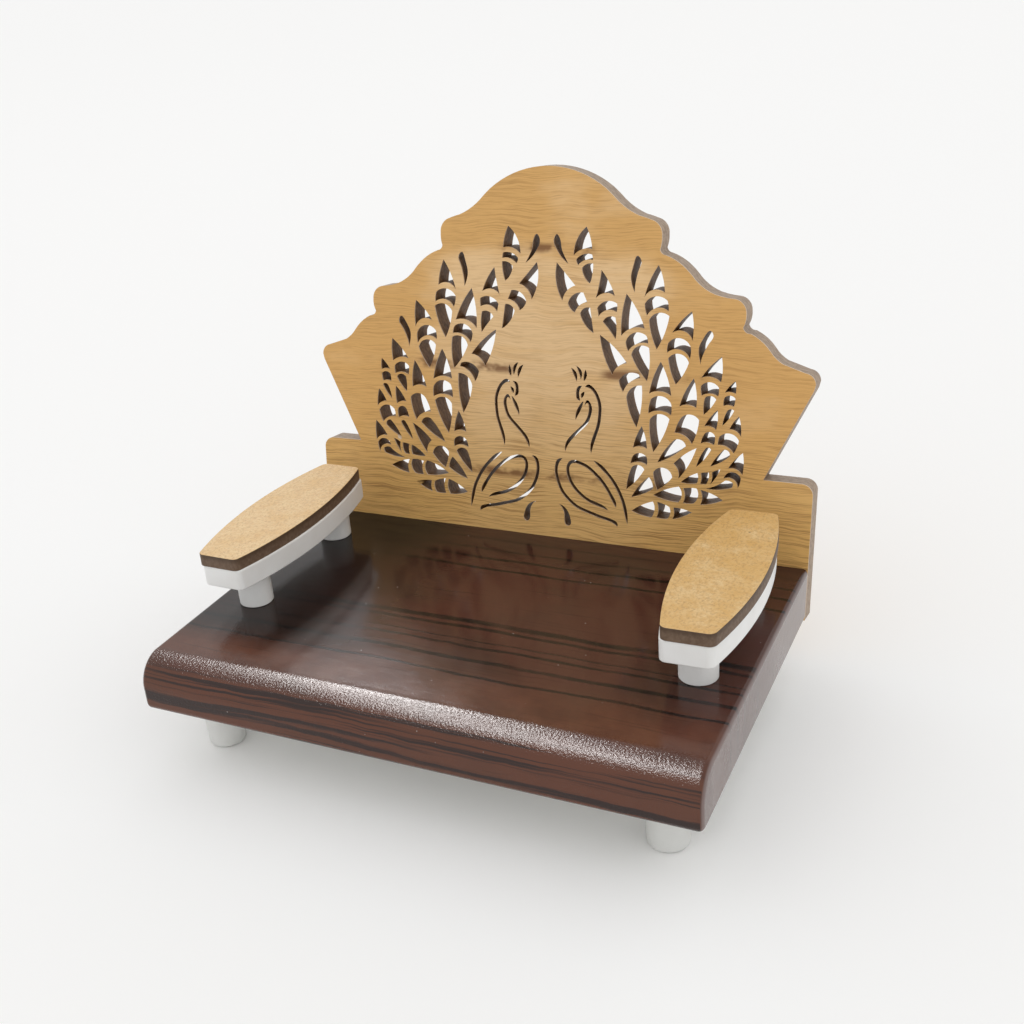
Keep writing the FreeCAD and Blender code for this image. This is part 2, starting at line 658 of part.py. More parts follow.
for side in sides:
    middle = arm_middle(side)
    toe = Rotation(Vector(0, 0, sides[side]), c.arm_toe)
    plate = arm_slab(f"plate_{side}", "Sizes.plate_thickness", "Sizes.plate_arris", True)
    for end in ends:
        aside = f"{sides[side]} * {post_offset(end)} * sin(Sizes.arm_toe)"
        along = f"{post_offset(end)} * cos(Sizes.arm_toe)"
        primitive(plate, "SubtractiveCylinder", None, aside, along, "0",
                  Radius="Sizes.arm_screw_radius + Sizes.screw_gap", Height="Sizes.plate_thickness")
        primitive(plate, "SubtractiveCone", None, aside, along,
                  "Sizes.plate_thickness - Sizes.arm_screw_head_height",
                  Radius1="Sizes.arm_screw_radius + Sizes.screw_gap",
                  Radius2="Sizes.arm_screw_head_radius + Sizes.screw_gap",
                  Height="Sizes.arm_screw_head_height")
    place(plate, middle, f"{PANEL_FRONT} - Sizes.arm_setback", PLATE_BASE, toe)
    bind(plate, Placement__Rotation__Angle="Sizes.arm_toe")
    keep(plate, f"arm_plate_{side}")
    cushion = arm_slab(f"pad_{side}", "Sizes.pad_thickness", "Sizes.pad_arris", False)
    place(cushion, f"{middle} + {sides[side]} * Sizes.pad_shift",
          f"{PANEL_FRONT} - Sizes.arm_setback - Sizes.pad_shift / 2", PLATE_TOP, toe)
    bind(cushion, Placement__Rotation__Angle="Sizes.arm_toe")
    keep(cushion, f"arm_pad_{side}")


# Posts and feet

def is_rim(edge):
    """A full circle, not the seam of a round surface."""
    return edge.BoundBox.ZLength < PROBE


for side, end in corners:
    post = new_body(f"post_{side}_{end}")
    barrel = primitive(post, "AdditiveCylinder", Radius="Sizes.post_radius", Height="Sizes.post_height")
    fillet(post, barrel, is_rim, "Sizes.post_arris")
    primitive(post, "SubtractiveCylinder", Radius="Sizes.arm_screw_radius + Sizes.screw_gap",
              Height="Sizes.post_height")
    across, depth = post_spot(side, end)
    place(post, across, depth, SEAT_TOP)
    keep(post, f"arm_post_{side}_{end}")

for side, end in corners:
    foot = new_body(f"foot_{side}_{end}_body")
    cone = primitive(foot, "AdditiveCone", Radius1="Sizes.foot_sole_radius",
                     Radius2="Sizes.foot_top_radius", Height="Sizes.foot_height")
    fillet(foot, cone, lambda edge: lies_at(edge, "Z", 0), "Sizes.foot_round")
    primitive(foot, "SubtractiveCylinder", Radius="Sizes.foot_recess_radius",
              Height="Sizes.foot_recess_depth")
    primitive(foot, "SubtractiveCylinder", Radius="Sizes.foot_screw_radius + Sizes.screw_gap",
              Height="Sizes.foot_height")
    across, depth = foot_spot(side, end)
    place(foot, across, depth)
    keep(foot, f"foot_{side}_{end}")


# Screws, each with its head's top at zero and its shank going down

def cross_drive(body):
    """The cross recess in the head."""
    for turn, long_side, short_side in ((0, "Length", "Width"), (1, "Width", "Length")):
        bar = {long_side: "4 * Sizes.drive_width", short_side: "Sizes.drive_width",
               "Height": "Sizes.drive_depth"}
        primitive(body, "SubtractiveBox", None, f"-({bar['Length']}) / 2", f"-({bar['Width']}) / 2",
                  "-Sizes.drive_depth", **bar)


def screw(name, kind, length, countersunk):
    """One screw of a kind, named by its sizes in the sheet."""
    body = new_body(name)
    head_radius = f"Sizes.{kind}_head_radius"
    head_height = f"Sizes.{kind}_head_height"
    radius = f"Sizes.{kind}_radius"
    if countersunk:
        primitive(body, "AdditiveCone", None, height=f"-{head_height}", Radius1=radius,
                  Radius2=head_radius, Height=head_height)
    else:
        primitive(body, "AdditiveCylinder", None, height=f"-{head_height}", Radius=head_radius,
                  Height=head_height)
    shank = f"({length} - {head_height} - {radius})"
    primitive(body, "AdditiveCylinder", None, height=f"-({length}) + {radius}", Radius=radius,
              Height=shank)
    primitive(body, "AdditiveCone", None, height=f"-({length})", Radius1=f"{radius} / 5",
              Radius2=radius, Height=radius)
    cross_drive(body)
    return body


def group(name, members):
    """Identical screws as one piece."""
    item = doc.addObject("Part::Compound", name)
    item.Links = members
    doc.recompute()
    keep(item, name)


foot_screws = []
arm_screws = []
for side, end in corners:
    across, depth = foot_spot(side, end)
    item = screw(f"foot_screw_{side}_{end}", "foot_screw",
                 "Sizes.foot_height - Sizes.foot_recess_depth + Sizes.foot_screw_head_height"
                 " + Sizes.foot_screw_bite", False)
    place(item, across, depth, "Sizes.foot_recess_depth - Sizes.foot_screw_head_height", UPSIDE_DOWN)
    foot_screws.append(item)
    across, depth = post_spot(side, end)
    item = screw(f"arm_screw_{side}_{end}", "arm_screw",
                 "Sizes.plate_thickness + Sizes.post_height + Sizes.arm_screw_bite", True)
    place(item, across, depth, PLATE_TOP)
    arm_screws.append(item)
panel_screws = []
for column in screw_columns:
    item = screw(f"panel_screw_{column + 1}", "panel_screw",
                 "Sizes.panel_thickness + Sizes.panel_screw_bite", True)
    place_on_panel(item, column_spot(column), SCREW_DOWN, "Sizes.panel_thickness", THROUGH_PANEL)
    panel_screws.append(item)
group("foot_screws", foot_screws)
group("arm_screws", arm_screws)
group("panel_screws", panel_screws)

# Checks and files

doc.recompute()
faults = []
for item in doc.Objects:
    if "Invalid" in item.State or "Error" in item.State:
        faults.append(f"{item.Label}: {item.State}")
for item in parts:
    if item.Shape.isNull() or not item.Shape.isValid():
        faults.append(f"{item.Label}: bad shape")
if faults:
    raise RuntimeError("; ".join(faults))
os.makedirs("parts", exist_ok=True)
for item in parts:
    item.Shape.exportStep(f"parts/{item.Label}.step")
    print(f"{item.Label}: {len(item.Shape.Solids)} solids, {item.Shape.Volume:.1f} mm3")
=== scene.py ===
import math

import bmesh
import bpy
from mathutils import Matrix, Vector


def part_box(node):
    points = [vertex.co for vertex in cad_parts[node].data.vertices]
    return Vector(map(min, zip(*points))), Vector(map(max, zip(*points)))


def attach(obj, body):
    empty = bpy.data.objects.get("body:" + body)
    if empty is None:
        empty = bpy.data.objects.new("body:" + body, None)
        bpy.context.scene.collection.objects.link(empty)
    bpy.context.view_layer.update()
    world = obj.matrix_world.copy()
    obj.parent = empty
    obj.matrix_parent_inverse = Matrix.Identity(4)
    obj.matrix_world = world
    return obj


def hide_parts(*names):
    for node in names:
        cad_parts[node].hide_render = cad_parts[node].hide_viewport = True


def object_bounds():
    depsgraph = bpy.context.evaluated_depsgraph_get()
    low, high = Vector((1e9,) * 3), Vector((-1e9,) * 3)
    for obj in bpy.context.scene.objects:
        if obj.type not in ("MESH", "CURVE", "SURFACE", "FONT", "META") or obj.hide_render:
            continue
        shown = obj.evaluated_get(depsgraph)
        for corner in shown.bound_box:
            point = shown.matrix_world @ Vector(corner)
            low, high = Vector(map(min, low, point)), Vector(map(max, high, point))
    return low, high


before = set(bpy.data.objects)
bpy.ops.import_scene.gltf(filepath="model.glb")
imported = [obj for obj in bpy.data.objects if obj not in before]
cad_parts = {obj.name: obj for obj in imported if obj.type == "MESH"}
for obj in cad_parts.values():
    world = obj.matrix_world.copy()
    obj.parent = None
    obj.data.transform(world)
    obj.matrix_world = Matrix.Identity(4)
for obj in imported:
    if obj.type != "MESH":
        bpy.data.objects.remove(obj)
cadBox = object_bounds()
mm = 0.001
toMillimetres = 1000
lean = math.radians(8.4)        # the back panel leans back, and the seat's rear edge with it
seatLow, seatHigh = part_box("seat_foil")     # its high corner is where the panel's front meets the seat top
seatTop = seatHigh.z * toMillimetres
panelFront = seatHigh.y * toMillimetres


# Shader maths. A Flow is a value on its way through the nodes, and it can be added, scaled and compared.

class Flow:
    def __init__(self, graph, socket):
        self.graph = graph
        self.socket = socket

    def maths(self, operation, *values):
        return self.graph.add("ShaderNodeMath", {"operation": operation}, dict(enumerate(values)))

    def __add__(self, other):
        return self.maths("ADD", self, other)

    __radd__ = __add__

    def __sub__(self, other):
        return self.maths("SUBTRACT", self, other)

    def __rsub__(self, other):
        return self.maths("SUBTRACT", other, self)

    def __mul__(self, other):
        return self.maths("MULTIPLY", self, other)

    __rmul__ = __mul__

    def __abs__(self):
        return self.maths("ABSOLUTE", self)

    def most(self, other):
        return self.maths("MAXIMUM", self, other)

    def between(self, low, high, first=0.0, last=1.0):  # eases from first at low to last at high
        return self.graph.add("ShaderNodeMapRange", {"interpolation_type": "SMOOTHSTEP"},
                              {"Value": self, "From Min": low, "From Max": high,
                               "To Min": first, "To Max": last})


# A node tree, and the one way in which nodes get into it

class Graph:
    def __init__(self, tree):
        self.tree = tree

    def feed(self, item, inputs):
        for name, value in inputs.items():
            socket = item.inputs[name]
            if isinstance(value, Flow):
                self.tree.links.new(value.socket, socket)
            elif socket.type == "RGBA" and len(value) == 3:
                socket.default_value = (*value, 1)
            else:
                socket.default_value = value

    def add(self, kind, settings=None, inputs=None, output=0):
        item = self.tree.nodes.new(kind)
        for name, value in (settings or {}).items():
            setattr(item, name, value)
        self.feed(item, inputs or {})
        return Flow(self, item.outputs[output])


# One material. Its places and sizes are in millimetres.

class Finish(Graph):
    def __init__(self, name, **surface):
        self.material = bpy.data.materials.new(name)
        self.material.use_nodes = True
        super().__init__(self.material.node_tree)
        self.surface = self.tree.nodes["Principled BSDF"]
        self.feed(self.surface, surface)
        here = self.add("ShaderNodeTexCoord", output="Object")
        self.here = self.add("ShaderNodeVectorMath", {"operation": "SCALE"},
                             {"Vector": here, "Scale": toMillimetres})

    def blend(self, amount, first, second):  # of two colours, which are the Mix node's inputs 6 and 7
        return self.add("ShaderNodeMix", {"data_type": "RGBA"}, {0: amount, 6: first, 7: second}, 2)

    def split(self, vector):
        item = self.add("ShaderNodeSeparateXYZ", None, {0: vector}).socket.node
        return [Flow(self, output) for output in item.outputs]

    def join(self, *parts):
        return self.add("ShaderNodeCombineXYZ", None, dict(enumerate(parts)))

    def axes(self):
        return self.split(self.here)

    def facing(self):  # how far the surface looks along each axis
        return self.split(self.add("ShaderNodeTexCoord", output="Normal"))

    def noise(self, size, stretch=(1, 1, 1), detail=4, roughness=0.55, shift=(0, 0, 0), warp=0.0, at=None):
        spot = self.add("ShaderNodeMapping", None,
                        {"Vector": at or self.here, "Location": shift,
                         "Scale": [part / size for part in stretch]})
        return self.add("ShaderNodeTexNoise", None,
                        {"Vector": spot, "Scale": 1.0, "Detail": detail, "Roughness": roughness,
                         "Distortion": warp})

    def waves(self, size, height, stretch, detail=2, roughness=0.55):  # how far lines stray to both sides
        return (self.noise(size, stretch, detail, roughness) - 0.5) * height

    def cells(self, size, shift=(0, 0, 0)):
        spot = self.add("ShaderNodeMapping", None,
                        {"Vector": self.here, "Location": shift, "Scale": [1 / size] * 3})
        return self.add("ShaderNodeTexVoronoi", None, {"Vector": spot, "Scale": 1.0})

    def bump(self, height, depth, strength=1.0):  # depth in millimetres for a height of one
        return self.add("ShaderNodeBump", None,
                        {"Height": height, "Strength": strength, "Distance": depth * mm})

    def finish(self, **surface):
        self.feed(self.surface, surface)
        return self.material


# Back panel: oak veneer on fibreboard, with a smoky laser cut

oakPanel = {
    "pale": (0.79, 0.54, 0.285),
    "amber": (0.67, 0.39, 0.138),
    # the colour of the painted shade at the bottom of the panel
    "low": (0.68, 0.405, 0.13),
    "grain": (0.29, 0.145, 0.045),
    "mark": (0.15, 0.055, 0.018),
    "veneerEdge": (0.70, 0.53, 0.37),
    # window walls: burnt, and painted darker as shade inside the holes; outline walls: painted paler, as lit
    # from above
    "sawn": (0.235, 0.12, 0.045),
    "sawnDark": (0.115, 0.05, 0.014),
    "outer": (0.375, 0.28, 0.205),
    "outerDark": (0.225, 0.16, 0.11),
    "specular": 0.2,
    "veneer": 0.55,             # thickness
    "lowTone": (8, 62),         # painted shade: the bottom is painted darker and more golden, fading out on the way up from here to there
    "sideTone": (20, 58),       # the amber tone comes in between these distances from the middle
    "topTone": (92, 108),       # and between these heights
    "slowWave": (34, 9),        # the grain's waves: length and height
    "quickWave": (6, 1.4),
    "grainDraw": 0.05,          # the grain is drawn out across the panel, as twenty to one
    "fineGrain": 0.42,
    "poreSize": 0.34,
    "broadGrain": 3.0,
    "patchSize": 17,
    "blotSize": 7.5,
    "sootSize": 1.6,
    "grainDepth": 0.035,
    "streakEdge": (0.4, 2.6),   # half width of a streak, inside and outside its soft edge
    "outerMark": "outerWall",   # the attribute that marks the walls of the outline
    # brown streaks that run across: height up the panel, middle, half length
    "streaks": ((101.5, 0, 19), (60, -33, 23), (60, 38, 20), (22.5, 5, 42)),
}


def oakPanelFinish():
    wood = Finish("oakPanel", **{"Specular IOR Level": oakPanel["specular"]})
    across, depth, height = wood.axes()
    rise = height - seatTop
    back = depth - panelFront
    up = rise * math.cos(lean) + back * math.sin(lean)
    behind = back * math.cos(lean) - rise * math.sin(lean)
    face = abs(wood.facing()[1]).between(0.6, 0.9)

    sway = wood.waves(*oakPanel["slowWave"], (0.7, 1, 1))
    ripple = wood.waves(*oakPanel["quickWave"], (0.6, 1, 1), 2, 0.6)
    grainSpot = wood.join(across * oakPanel["grainDraw"], behind, up + sway + ripple)
    fine = wood.noise(oakPanel["fineGrain"], (0.33, 1, 1), 3, 0.62, at=grainSpot)
    broad = wood.noise(oakPanel["broadGrain"], (0.8, 0.3, 1), 3, 0.55, (4, 0, 0), at=grainSpot)
    pores = wood.noise(oakPanel["poreSize"], (0.9, 1, 1), 2, 0.5, (0, 0, 11), at=grainSpot)
    patches = wood.noise(oakPanel["patchSize"], (0.6, 1, 1), 3, 0.5, (3, 0, 8))
    paintedLowShade = up.between(*oakPanel["lowTone"], 1, 0)
    outward = abs(across).between(*oakPanel["sideTone"])
    nearTop = up.between(*oakPanel["topTone"])
    amberness = (outward + nearTop * 0.8 + patches.between(0.3, 0.7, -0.25, 0.45)).between(0.05, 1.1)

    colour = wood.blend(amberness, oakPanel["pale"], oakPanel["amber"])
    # painted shade: the lower panel is painted darker and more golden, with stronger grain, where the seat
    # and arms shade it
    colour = wood.blend(paintedLowShade * 0.8, colour, oakPanel["low"])
    colour = wood.blend(broad.between(0.46, 0.68) * (nearTop * 0.25 + 0.3), colour, oakPanel["amber"])
    strength = paintedLowShade * 0.45 + nearTop * 0.05 + patches.between(0.3, 0.7, 0.1, 0.34)
    colour = wood.blend(fine.between(0.45, 0.64) * strength, colour, oakPanel["grain"])
    colour = wood.blend(pores.between(0.52, 0.68) * 0.24, colour, oakPanel["grain"])
    blots = wood.noise(oakPanel["blotSize"], (0.7, 1, 1), 3, 0.6, (1, 0, 5))
    for place, middle, reach in oakPanel["streaks"]:
        streak = abs(up - place + ripple).between(*oakPanel["streakEdge"], 1, 0)
        inReach = abs(across - middle).between(reach * 0.75, reach, 1, 0)
        amount = streak * inReach * blots.between(0.43, 0.6, 0.1, 0.82)
        colour = wood.blend(amount, colour, oakPanel["mark"])

    outer = wood.add("ShaderNodeAttribute", {"attribute_name": oakPanel["outerMark"]}, output="Fac")
    soot = wood.noise(oakPanel["sootSize"], (1, 1.6, 1), 4, 0.65, (2, 0, 0))
    # window walls: burn plus painted shade; outline walls: painted light, paler as lit from above
    sawn = wood.blend(soot.between(0.32, 0.7), oakPanel["sawn"], oakPanel["sawnDark"])
    litOuterWall = wood.blend(soot.between(0.36, 0.72), oakPanel["outer"], oakPanel["outerDark"])
    wall = wood.blend(outer, sawn, litOuterWall)
    inVeneer = behind.between(oakPanel["veneer"] * 0.8, oakPanel["veneer"] * 1.2, 0.85, 0)
    wall = wood.blend(inVeneer, wall, oakPanel["veneerEdge"])
    return wood.finish(**{
        "Base Color": wood.blend(face, wall, colour),
        "Roughness": fine.between(0.3, 0.75, 0.42, 0.6),
        "Normal": wood.bump(fine * 0.5 + pores * 0.5, oakPanel["grainDepth"], 0.6),
    })


# Seat foil: dark glossy wood print. Its grain runs along the seat and on over the nose.

foilPrint = {
    "red": (0.076, 0.025, 0.0165),
    "brown": (0.060, 0.025, 0.0165),
    "rust": (0.135, 0.048, 0.024),
    "black": (0.004, 0.003, 0.0028),
    "bluish": (0.016, 0.012, 0.012),
    # pale ends: painted reflection of the bright floor, with some dust
    "endWall": (0.24, 0.19, 0.18),
    "dust": (0.42, 0.38, 0.35),
    "specular": 0.33,
    "gloss": 0.14,              # roughness of the clean flat foil
    "noseStart": -63,           # where the flat top ends, towards the front
    "rustTone": (-40, -56),     # the print turns rusty on the way to the nose
    "leftTone": (-55, -15),     # painted shade: darker to the left, by the left arm
    "rearTone": (5, 50),        # painted shade: darker to the rear, by the panel
    "slowWave": (42, 5),        # the grain's waves: length and height
    "quickWave": (6, 1.3),
    "grainDraw": 0.018,         # the grain is drawn out along the seat, as fifty to one
    "fineGrain": 0.8,
    "broadGrain": 2.1,
    "cloudSize": 24,
    "patchSize": 9,
    "wornSize": 6,
    "speckSpacing": 5.2,
    "speckSpread": 11,
    "peelSize": 0.6,            # the glue's orange peel, its creases and the slow swell under the gloss
    "creaseSize": 2.6,
    "swellSize": 13,
    "reliefDepth": 0.5,
    # printed lines: place from the middle of the seat towards the panel, half width, strength
    "lines": ((38.5, 0.8, 0.6), (31, 0.8, 0.75), (24.7, 0.9, 0.95), (17.5, 0.85, 0.95),
              (-18, 1.6, 0.95), (-21.6, 1.0, 0.9), (-28.4, 0.6, 0.6), (-31.8, 0.85, 0.9),
              (-38.8, 1.1, 0.95), (-46.5, 0.8, 0.85)),
}


def foilFinish():
    foil = Finish("woodPrintFoil", **{"Specular IOR Level": foilPrint["specular"]})
    across, depth, height = foil.axes()
    ends = abs(foil.facing()[0]).between(0.5, 0.85)
    wrap = depth + (height - seatTop) * (1 - ends)      # the distance along the foil, on over the nose
    noseStart = foilPrint["noseStart"]
    onNose = wrap.between(noseStart + 1, noseStart - 3)
    onFront = wrap.between(noseStart - 7, noseStart - 11)
    nearNose = wrap.between(*foilPrint["rustTone"])

    sway = foil.waves(*foilPrint["slowWave"], (0.8, 1, 1))
    ripple = foil.waves(*foilPrint["quickWave"], (0.6, 1, 1), 3, 0.6)
    along = wrap + sway + ripple
    grainSpot = foil.join(across * foilPrint["grainDraw"], 0.0, along)
    fine = foil.noise(foilPrint["fineGrain"], (1, 1, 1), 3, 0.6, at=grainSpot)
    broad = foil.noise(foilPrint["broadGrain"], (0.9, 1, 1), 3, 0.55, (7, 0, 0), at=grainSpot)
    clouds = foil.noise(foilPrint["cloudSize"], (0.6, 1, 1), 3, 0.55)
    patches = foil.noise(foilPrint["patchSize"], (0.8, 1, 1), 3, 0.6, (5, 0, 2))

    printed = 0.0
    for place, width, strength in foilPrint["lines"]:
        line = abs(along - place).between(width * 0.3, width * 1.15, strength, 0)
        printed = line if printed == 0.0 else printed.most(line)
    worn = foil.noise(foilPrint["wornSize"], (0.4, 1, 1), 4, 0.65, (2, 0, 0)).between(0.28, 0.55, 0.45, 1)

    colour = foil.blend(clouds.between(0.36, 0.66), foilPrint["red"], foilPrint["brown"])
    colour = foil.blend(onFront * 0.45, colour, foilPrint["rust"])
    rusty = nearNose * (1 - onNose * 0.6) * patches.between(0.25, 0.7, 0.25, 0.7)
    colour = foil.blend(rusty, colour, foilPrint["rust"])
    # painted shade: the top is painted darker towards the left arm and towards the panel
    leftShade = across.between(*foilPrint["leftTone"], 0.75, 0)
    rearShade = wrap.between(*foilPrint["rearTone"], 0, 0.4)
    colour = foil.blend((leftShade + rearShade) * (1 - nearNose), colour, foilPrint["black"])
    colour = foil.blend(fine.between(0.55, 0.72) * 0.35, colour, foilPrint["black"])
    colour = foil.blend(printed * worn, colour, foilPrint["black"])
    colour = foil.blend(broad.between(0.47, 0.57) * onFront * 0.85, colour, foilPrint["bluish"])
    # painted reflection: the two ends are painted pale, standing for the bright floor they reflect at a
    # grazing angle, with some dust
    colour = foil.blend(ends * clouds.between(0.25, 0.7, 0.45, 0.8), colour, foilPrint["endWall"])
    specks = foil.cells(foilPrint["speckSpacing"], (0, 0, 0.4)).between(0.028, 0.05, 1, 0)
    sparse = foil.noise(foilPrint["speckSpread"], (1, 1, 1), 1, 0.5, (3, 1, 0)).between(0.47, 0.6)
    dust = specks * sparse
    colour = foil.blend(dust * 0.7, colour, foilPrint["dust"])

    peel = foil.noise(foilPrint["peelSize"], (0.8, 1, 1), 2, 0.6)
    creases = foil.noise(foilPrint["creaseSize"], (0.5, 1, 1), 3, 0.5, (9, 0, 0))
    swell = foil.noise(foilPrint["swellSize"], (0.6, 1, 1), 2)
    relief = peel * (onNose * 0.24 + 0.006) + creases * 0.045 + swell * 0.12
    haze = patches.between(0.35, 0.7)
    return foil.finish(**{
        "Base Color": colour,
        "Roughness": onNose * 0.04 + haze * 0.02 + dust * 0.3 + foilPrint["gloss"],
        "Normal": foil.bump(relief, foilPrint["reliefDepth"]),
    })


# Armrests: bare fibreboard pads with a browned cut edge

padBoard = {
    "tan": (0.66, 0.425, 0.175),
    "light": (0.75, 0.545, 0.275),
    "amber": (0.62, 0.355, 0.09),
    "fibre": (0.40, 0.225, 0.075),
    "edge": (0.118, 0.072, 0.044),
    "edgeLight": (0.165, 0.108, 0.07),
    "edgeTop": (0.06, 0.033, 0.017),
    "speck": (0.09, 0.055, 0.03),
    "specular": 0.35,
    "cloudSize": 11,
    "mottleSize": 1.2,
    "fleckSize": 0.7,
    "fibreSize": 0.55,
    "sootSize": 1.1,
    "speckSpacing": 17,
    "rightTone": (-10, 10),     # the pad on the right is the more amber one
    "browned": (2.4, 0.3),      # the cut edge gets darker between these depths below the top
    "fibreDepth": 0.03,
}


def padFinish():
    board = Finish("padFibreboard", **{"Specular IOR Level": padBoard["specular"]})
    across, depth, up = board.axes()
    clouds = board.noise(padBoard["cloudSize"], (1, 1, 1), 3, 0.55)
    clouds = clouds + across.between(*padBoard["rightTone"], 0, 0.2)
    mottle = board.noise(padBoard["mottleSize"], (1, 1, 1), 3, 0.65, (0, 3, 0))
    flecks = board.noise(padBoard["fleckSize"], (1, 0.6, 1), 2, 0.6, (0, 2, 0))
    fibres = board.noise(padBoard["fibreSize"], (0.3, 1, 1), 2, 0.6, (6, 0, 0), 1.5)
    colour = board.blend(mottle.between(0.36, 0.64), padBoard["tan"], padBoard["light"])
    colour = board.blend(clouds.between(0.42, 0.8) * 0.65, colour, padBoard["amber"])
    colour = board.blend(flecks.between(0.5, 0.66) * 0.42, colour, padBoard["fibre"])
    colour = board.blend(fibres.between(0.56, 0.68) * 0.5, colour, padBoard["fibre"])
    specks = board.cells(padBoard["speckSpacing"], (0.3, 0.1, 0)).between(0.02, 0.035, 1, 0)
    colour = board.blend(specks * 0.8, colour, padBoard["speck"])

    soot = board.noise(padBoard["sootSize"], (1, 1, 0.8), 3, 0.6)
    edge = board.blend(soot.between(0.35, 0.7), padBoard["edge"], padBoard["edgeLight"])
    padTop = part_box("arm_pad_left")[1].z * toMillimetres
    deepest, shallowest = padBoard["browned"]
    browned = up.between(padTop - deepest, padTop - shallowest) * 0.75
    edge = board.blend(browned, edge, padBoard["edgeTop"])
    return board.finish(**{
        "Base Color": board.blend(board.facing()[2].between(0.55, 0.85), edge, colour),
        "Roughness": mottle.between(0.3, 0.7, 0.5, 0.66),
        "Normal": board.bump(flecks + mottle * 0.6, padBoard["fibreDepth"], 0.6),
    })


# White plastic of the plates, posts and feet: its tone and a slightly darker one. The feet are painted
# darker still, as painted shade, because they get less light.

whitePlastic = {
    "plates": ((0.80, 0.80, 0.785), (0.755, 0.75, 0.73)),
    # painted shade: the feet's tones are darker, as they get less light
    "feet": ((0.66, 0.66, 0.64), (0.61, 0.61, 0.585)),
    "specular": 0.45,
    "cloudSize": 13,
    "grainSize": 0.7,
    "grainDepth": 0.012,
}


def whiteFinish(name, tones):
    white = Finish(name, **{"Specular IOR Level": whitePlastic["specular"]})
    clouds = white.noise(whitePlastic["cloudSize"], (1, 1, 1), 3, 0.5)
    grains = white.noise(whitePlastic["grainSize"], (1, 1, 1), 2, 0.6)
    return white.finish(**{
        "Base Color": white.blend(clouds.between(0.35, 0.7), *tones),
        "Roughness": clouds.between(0.3, 0.7, 0.34, 0.46),
        "Normal": white.bump(grains, whitePlastic["grainDepth"], 0.5),
    })


# Board core, facing and screws

coreBoard = {
    "tan": (0.42, 0.30, 0.18),
    "dark": (0.27, 0.18, 0.10),
    "specular": 0.2,
    "fibreSize": 1.1,
    "fibreDepth": 0.08,
}


def coreFinish():
    core = Finish("coreFibreboard", **{"Specular IOR Level": coreBoard["specular"]})
    fibres = core.noise(coreBoard["fibreSize"], (1, 1, 2.5), 4, 0.7)
    return core.finish(**{
        "Base Color": core.blend(fibres.between(0.35, 0.7), coreBoard["tan"], coreBoard["dark"]),
        "Roughness": fibres.between(0.3, 0.7, 0.75, 0.9),
        "Normal": core.bump(fibres, coreBoard["fibreDepth"], 0.6),
    })


facingSheet = {
    "white": (0.74, 0.735, 0.70),
    "grey": (0.705, 0.70, 0.665),
    "specular": 0.4,
    "pitSize": 0.7,
    "cloudSize": 25,
    "pitDepth": 0.03,
}


def facingFinish():
    sheet = Finish("whiteFacing", **{"Specular IOR Level": facingSheet["specular"]})
    pits = sheet.noise(facingSheet["pitSize"], (1, 1, 1), 3, 0.6)
    clouds = sheet.noise(facingSheet["cloudSize"], (1, 1, 1), 3, 0.5)
    return sheet.finish(**{
        "Base Color": sheet.blend(clouds.between(0.35, 0.7), facingSheet["white"], facingSheet["grey"]),
        "Roughness": pits.between(0.3, 0.7, 0.42, 0.55),
        "Normal": sheet.bump(pits, facingSheet["pitDepth"], 0.5),
    })


screwSteel = {
    "bright": (0.62, 0.61, 0.58),
    "dull": (0.42, 0.41, 0.385),
    "cloudSize": 1.6,
    "cloudDepth": 0.02,
}


def screwFinish():
    steel = Finish("zincSteel")
    clouds = steel.noise(screwSteel["cloudSize"], (1, 1, 1), 3, 0.6)
    return steel.finish(**{
        "Base Color": steel.blend(clouds.between(0.35, 0.7), screwSteel["bright"], screwSteel["dull"]),
        "Metallic": clouds.between(0.2, 0.9, 1.0, 0.85),
        "Roughness": clouds.between(0.3, 0.7, 0.28, 0.45),
        "Normal": steel.bump(clouds, screwSteel["cloudDepth"], 0.4),
    })


finishes = {
    "oak": oakPanelFinish(),
    "foil": foilFinish(),
    "pad": padFinish(),
    "white": whiteFinish("whitePlastic", whitePlastic["plates"]),
    "foot": whiteFinish("footPlastic", whitePlastic["feet"]),
    "core": coreFinish(),
    "facing": facingFinish(),
    "steel": screwFinish(),
}
print("finishes:", ", ".join(finishes))


# Modelling helpers

near = 0.01 * mm                # how near counts as the same place
mergeWithin = 0.002 * mm        # corners of a CAD mesh that are nearer than this are one
flatWithin = math.radians(0.5)  # faces that turn by less than this become one
smoothBelow = 30                # edges that turn by fewer degrees are shaded smooth


def paint(piece, material):
    piece.data.materials.clear()
    piece.data.materials.append(material)


def letGo():
    bpy.ops.object.select_all(action="DESELECT")


def takeUp(piece):  # make it the only selected piece
    letGo()
    piece.select_set(True)
    bpy.context.view_layer.objects.active = piece


def pick(piece, kind, rule):  # select edges or faces in edit mode by a rule
    mesh = bmesh.from_edit_mesh(piece.data)
    bpy.ops.mesh.select_all(action="DESELECT")
    bpy.ops.mesh.select_mode(type=kind)
    for item in mesh.edges if kind == "EDGE" else mesh.faces:
        item.select_set(rule(item))
    bmesh.update_edit_mesh(piece.data)


def level(axis, value):  # a rule for edges and faces that lie flat at a place along an axis
    def rule(item):
        return all(abs(end.co[axis] - value) < near for end in item.verts)
    return rule


def bevel(width, steps):
    bpy.ops.mesh.bevel(offset=width, segments=steps, affect="EDGES", clamp_overlap=False)


def edit(piece):
    takeUp(piece)
    bpy.ops.object.mode_set(mode="EDIT")


def settle(piece):  # leave edit mode and put the piece's place into its mesh
    bpy.ops.object.mode_set(mode="OBJECT")
    takeUp(piece)
    bpy.ops.object.transform_apply(location=True, rotation=True, scale=True)


